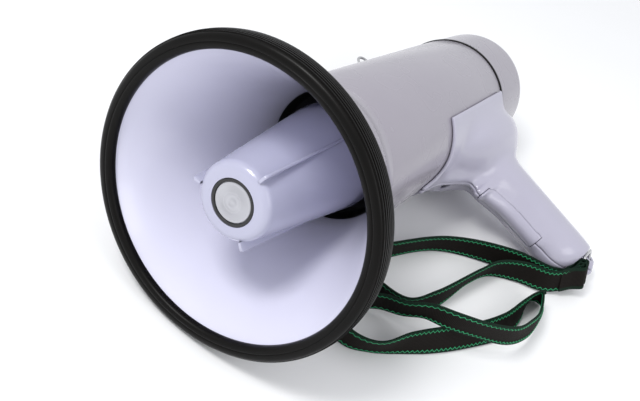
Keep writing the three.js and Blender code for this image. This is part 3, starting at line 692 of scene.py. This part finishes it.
# ---------- wire ring ----------
RING_CORNER, RING_STEPS, WIRE_RADIUS = 2.4, 6, 1.25
corners = [RING_BAR[0], RING_BAR[1], RING_FOLD[1], RING_FOLD[0]]
ring_points = []
for i in range(4):
    p = corners[i]
    a = (corners[i - 1] - p) / np.linalg.norm(corners[i - 1] - p)
    b = (corners[(i + 1) % 4] - p) / np.linalg.norm(corners[(i + 1) % 4] - p)
    for k in range(RING_STEPS + 1):
        t = k / RING_STEPS
        ring_points.append((1 - t) ** 2 * (p + a * RING_CORNER) + 2 * t * (1 - t) * p
                           + t * t * (p + b * RING_CORNER))
wire_ring = swept("wire_ring", ring_points, WIRE_RADIUS, STEEL, loop=True, body="strap_ring")
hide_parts("strap_ring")

# ---------- grip ----------
# Sections are rows of z, front x, rear x, half width, superellipse power and slant.
GRIP_SECTIONS = np.array([
    (-34, -208, -340, 41, 2.6, 0), (-44, -214, -349, 39.5, 2.6, 0), (-52, -222, -352, 38, 2.6, 0),
    (-58, -232, -352, 35.5, 2.5, 0), (-63, -242, -351, 32.5, 2.4, 0),
    (-68, -254, -347.5, 28, 2.3, 0),
    (-73, -262, -340, 24.2, 2.2, 0), (-78, -264, -326, 22, 2.1, 0),
    (-85, -264, -321.5, 21.6, 2.1, 0),
    (-94, -267.5, -321.5, 21, 2.1, 0), (-106, -271, -322.5, 20.2, 2.1, 0),
    (-130, -271, -322.5, 20, 2.1, 0.1), (-160, -270.4, -322, 20, 2.1, 0.36),
    (-169, -271, -321.4, 19.4, 2.1, 0.42), (-175, -274, -318.6, 17, 2.1, 0.42),
    (-179, -280, -313, 12, 2.1, 0.42)], float)
KEEL = np.array([
    (-46, -184, -290, 12, 2, 0), (-55, -194, -290, 9.5, 2, 0), (-58, -208, -290, 8.6, 2, 0),
    (-64, -229, -290, 8.3, 2, 0), (-70, -248, -290, 8, 2, 0), (-72.5, -252.6, -290, 8, 2, 0),
    (-86, -252, -290, 8, 2, 0)], float)
BLADE = np.array([
    (-82, -253.5, -300, 8.5, 2.1, 0), (-90, -255.8, -300, 9, 2.1, 0),
    (-96, -258.6, -300, 9.4, 2.1, 0),
    (-104, -262.6, -300, 9.8, 2.1, 0), (-114, -265.2, -300, 10, 2.1, 0),
    (-128, -266.4, -300, 10, 2.1, 0), (-137, -266.9, -300, 10, 2.1, 0),
    (-141, -268.2, -300, 9.6, 2.1, 0), (-145, -271.5, -300, 9, 2.1, 0)], float)
STEP = 0.9
SADDLE_GAP = 0.3


def smooth_table(sections, blur):
    """The sections on an even scale of heights, smoothed over blur millimetres."""
    z = np.arange(sections[:, 0].min(), sections[:, 0].max() + 0.1, 0.25)
    order = sections[::-1]
    kernel = np.exp(-0.5 * (np.arange(-20, 21) * 0.25 / blur) ** 2)
    kernel /= kernel.sum()
    columns = []
    for k in range(1, 6):
        v = np.pad(np.interp(z, order[:, 0], order[:, k]), 20, mode="edge")
        columns.append(np.convolve(v, kernel, "valid"))
    return z, columns


def field_of(sections, X, Y, Z, blur=1.6, end=1.5):
    """Signed distance, roughly, to a loft of superellipse sections, negative inside."""
    z, (front, rear, half, power, slant) = smooth_table(sections, blur)
    s = Z.copy()
    for _ in range(3):
        s = Z - np.interp(s, z, slant) * (X + 295)
    f, b = np.interp(s, z, front), np.interp(s, z, rear)
    h, p = np.interp(s, z, half), np.interp(s, z, power)
    a = (f - b) / 2
    u_ = np.abs(X - (f + b) / 2) / a
    v_ = np.abs(Y) / h
    k = (u_ ** p + v_ ** p) ** (1 / p)
    d = (k - 1) * np.minimum(a, h) * 0.5 + (k - 1) * h * 0.5
    d = smooth_max(d, z[0] - s, end)
    return smooth_max(d, s - z[-1], end)


def smooth_min(a, b, k):
    h = np.maximum(k - np.abs(a - b), 0) / k
    return np.minimum(a, b) - h * h * k * 0.25


def smooth_max(a, b, k):
    return -smooth_min(-a, -b, k)


def box_field(X, Y, Z, x0, x1, y0, y1, z0, z1):
    return np.maximum.reduce([x0 - X, X - x1, y0 - Y, Y - y1, z0 - Z, Z - z1])


def rod_field(X, Y, Z, a, b, r):
    a, b = np.array(a, float), np.array(b, float)
    ab = b - a
    t = np.clip(((X - a[0]) * ab[0] + (Y - a[1]) * ab[1] + (Z - a[2]) * ab[2]) / (ab @ ab), 0, 1)
    return np.sqrt((X - a[0] - t * ab[0]) ** 2 + (Y - a[1] - t * ab[1]) ** 2
                   + (Z - a[2] - t * ab[2]) ** 2) - r


def bezier(t, a, b, c, d):
    return a * (1 - t) ** 3 + b * 3 * t * (1 - t) ** 2 + c * 3 * t * t * (1 - t) + d * t ** 3


def saddle_field(X, Y, Z):
    """The plate that wraps the barrel, with a tongue that runs forward under it."""
    r = np.sqrt(Y * Y + Z * Z)
    rb = barrel_radius(X) + SADDLE_GAP
    band = np.maximum(r - rb - 2.6, rb - r)
    sector = (Z * 80 + 50 * np.abs(Y)) / 94.34
    t = np.linspace(0, 1, 30)
    tongue_x, tongue_y = bezier(t, -206, -205, -198, -184), bezier(t, 24, 12, 5, 3)
    tongue = np.maximum(np.abs(Y) - np.interp(X, tongue_x, tongue_y), X + 184)
    plan = np.minimum(X + 206, tongue)
    return smooth_max(smooth_max(smooth_max(band, sector, 1.2), plan, 1.2), -319 - X, 1.2)


def surface_nets(D, origin, step):
    """Quads round the zero level of a field on a grid."""
    shape = tuple(n - 1 for n in D.shape)
    total = np.zeros(shape + (3,), np.float32)
    count = np.zeros(shape, np.float32)
    for axis in range(3):
        others = [k for k in range(3) if k != axis]
        for i in (0, 1):
            for j in (0, 1):
                lo = [slice(0, n) for n in shape]
                for o, v in zip(others, (i, j)):
                    lo[o] = slice(v, v + shape[o])
                hi = list(lo)
                lo[axis] = slice(0, shape[axis])
                hi[axis] = slice(1, 1 + shape[axis])
                a, b = D[tuple(lo)], D[tuple(hi)]
                cross = (a < 0) != (b < 0)
                t = np.where(cross, a / np.where(cross, a - b, 1), 0)
                total[..., axis] += t
                total[..., others[0]] += cross * i
                total[..., others[1]] += cross * j
                count += cross
    active = count > 0
    index = np.full(shape, -1, np.int64)
    index[active] = np.arange(active.sum())
    cells = np.argwhere(active)
    verts = (cells + total[active] / count[active][:, None]) * step + origin
    faces = []
    for axis in range(3):
        b, c = (axis + 1) % 3, (axis + 2) % 3
        core = [slice(1, -1)] * 3
        lo, hi = list(core), list(core)
        lo[axis], hi[axis] = slice(0, -1), slice(1, None)
        inside = D[tuple(lo)] < 0
        change = np.argwhere(inside != (D[tuple(hi)] < 0))
        flags = inside[tuple(change.T)]
        at_ = change.copy()
        at_[:, b] += 1
        at_[:, c] += 1
        ring_ = []
        for db, dc in ((-1, -1), (0, -1), (0, 0), (-1, 0)):
            q = at_.copy()
            q[:, b] += db
            q[:, c] += dc
            ring_.append(index[tuple(q.T)])
        quads = np.array(ring_).T
        quads[~flags] = quads[~flags][:, ::-1]
        faces.append(quads)
    faces = np.concatenate(faces)
    return verts, faces[(faces >= 0).all(1)]


lo = np.array((-354.0, -50.4, -202.0))
size = np.array((174.0, 100.8, 176.0))
counts = np.ceil(size / STEP).astype(int) + 1
X, Y, Z = np.meshgrid(*[lo[k] + STEP * np.arange(counts[k]) for k in range(3)], indexing="ij")
handle = field_of(GRIP_SECTIONS, X, Y, Z, end=3)
handle = smooth_min(handle, field_of(BLADE, X, Y, Z, 1.6, 1), 4.0)
lug = rod_field(X, Y, Z, (-318.6, 6, -181.9), (-317.5, -3, -188.9), 4.6)
handle = smooth_min(handle, lug, 2.0)
handle = smooth_max(handle, -box_field(X, Y, Z, -340, -250, 6, 30, -200, -175.2), 0.8)
shape_ = smooth_min(handle, field_of(KEEL, X, Y, Z, 1.2, 1), 5.0)
radius = np.sqrt(Y * Y + Z * Z)
clear = barrel_radius(X) + SADDLE_GAP - radius
shape_ = np.maximum(shape_, clear)
shape_ = smooth_min(shape_, saddle_field(X, Y, Z), 4.5)
shape_ = np.maximum(shape_, clear)
whole = shape_
hollow = field_of(GRIP_SECTIONS[:14], X, Y, Z) + 2.6
shape_ = np.maximum(shape_, -hollow)
shape_ = np.maximum(shape_, -box_field(X, Y, Z, -285, -240, -7.2, 7.2, -142.1, -84.9))
shape_ = smooth_max(shape_, -box_field(X, Y, Z, -326, -312, -2.4, 2.4, -103, -91), 0.8)
shape_ = np.maximum(shape_, -rod_field(X, Y, Z, (-319.2, 13, -176.4), (-316.8, -9, -193.6), 2.1))
# screw pillars, each with a recess from the right-hand side
for x, z, depth in ((-242, -61, 4.5), (-308, -74, 14), (-297, -154, 14)):
    pillar = np.maximum(rod_field(X, Y, Z, (x, -60, z), (x, 60, z), 4),
                        np.minimum(handle + 0.4, 50))
    shape_ = np.minimum(shape_, np.maximum(pillar, clear))
    shape_ = np.maximum(shape_, -rod_field(X, Y, Z, (x, -60, z), (x, -depth - 3.5, z), 3.5))


def relax(obj):
    """Takes the grid's small steps off a surface."""
    smooth = obj.modifiers.new("relax", "SMOOTH")
    smooth.factor = 0.35
    smooth.iterations = 1


for name, sign in (("grip_left", 1), ("grip_right", -1)):
    field = np.maximum(shape_, 0.15 - sign * Y).astype(np.float32)
    verts, faces = surface_nets(field, lo, STEP)
    obj = mesh_object(name + "_shell", to_frame(verts), faces.tolist(), GRIP)
    relax(obj)
    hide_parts(name)

# ---------- trigger ----------
blade_body = np.maximum(whole, box_field(X, Y, Z, -277, -240, -7.05, 7.05, -141.95, -85.05))
keep = [slice(*np.searchsorted(lo[k] + STEP * np.arange(counts[k]), limits))
        for k, limits in enumerate(((-282, -246), (-12, 12), (-147, -80)))]
corner = lo + STEP * np.array([k.start for k in keep])
verts, faces = surface_nets(blade_body[tuple(keep)].astype(np.float32), corner, STEP)
trigger = mesh_object("trigger_blade", to_frame(verts), faces.tolist(), GRIP, body="trigger")
relax(trigger)
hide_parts("trigger")

# ---------- CAD nodes that keep their own shape ----------
replaced = {"horn_bell", "rim_guard", "horn_bullet", "badge_disc", "badge_ring", "throat_cup",
            "barrel_shell", "barrel_seal", "rear_cap", "volume_knob", "top_loop", "strap_ring",
            "strap", "grip_left", "grip_right", "trigger"}
KINDS = (("driver_magnet", FERRITE), ("driver_diaphragm", COPPER), ("voice_coil", COPPER),
         ("output_transformer", COPPER), ("circuit_board", BOARD), ("cell_", CELL),
         ("driver_cover", BLACK), ("driver_", STEEL), ("mic_capsule", SILVER),
         ("mic_holder", RUBBER), ("switch_button", RUBBER), ("volume_control", STEEL),
         ("trigger_pin", STEEL), ("grip_screw", STEEL), ("bullet_screw", STEEL),
         ("front_contacts", STEEL), ("rear_contacts", STEEL))
for name, obj in frame["nodes"].items():
    if name in replaced:
        continue
    material = next((m for key, m in KINDS if name.startswith(key)), BLACK)
    for s in obj.material_slots:
        s.material = material
    soften = obj.modifiers.new("soften", "BEVEL")
    soften.width = 0.25 * MM
    soften.segments = 2
    soften.limit_method = "ANGLE"
    soften.angle_limit = math.radians(40)
    soften.harden_normals = False

# ---------- floor and light ----------
floor_material, tree, shader = new_material("pale_floor")
tree.links.new(ramp(tree, noise(tree, 3, 2),
                    [(0.3, (0.86, 0.86, 0.865)), (0.7, (0.89, 0.89, 0.895))]),
               shader.inputs["Base Color"])
shader.inputs["Roughness"].default_value = 0.7
FLOOR_HALF = 6.0
floor = mesh_object("floor", [(-FLOOR_HALF, -FLOOR_HALF, 0), (FLOOR_HALF, -FLOOR_HALF, 0),
                              (FLOOR_HALF, FLOOR_HALF, 0), (-FLOOR_HALF, FLOOR_HALF, 0)],
                    [(0, 1, 2, 3)], floor_material, body=None)

world = bpy.data.worlds.new("soft_studio")
world.use_nodes = True
world.node_tree.nodes["Background"].inputs["Color"].default_value = (0.95, 0.97, 1.0, 1)
world.node_tree.nodes["Background"].inputs["Strength"].default_value = 0.88
bpy.context.scene.world = world
bpy.context.scene.view_settings.view_transform = "Standard"


def area_light(name, at_, target, size_, power):
    data = bpy.data.lights.new(name, "AREA")
    data.shape = "RECTANGLE"
    data.size, data.size_y = size_
    data.energy = power
    obj = bpy.data.objects.new(name, data)
    obj.location = at_
    obj.rotation_euler = (Vector(target) - Vector(at_)).to_track_quat("-Z", "Y").to_euler()
    bpy.context.scene.collection.objects.link(obj)


area_light("key", (0.75, -0.35, 1.15), (0, 0, 0.08), (0.35, 0.35), 10)
area_light("fill", (0.2, 1.2, 0.9), (0.05, 0, 0.08), (0.9, 0.9), 5)
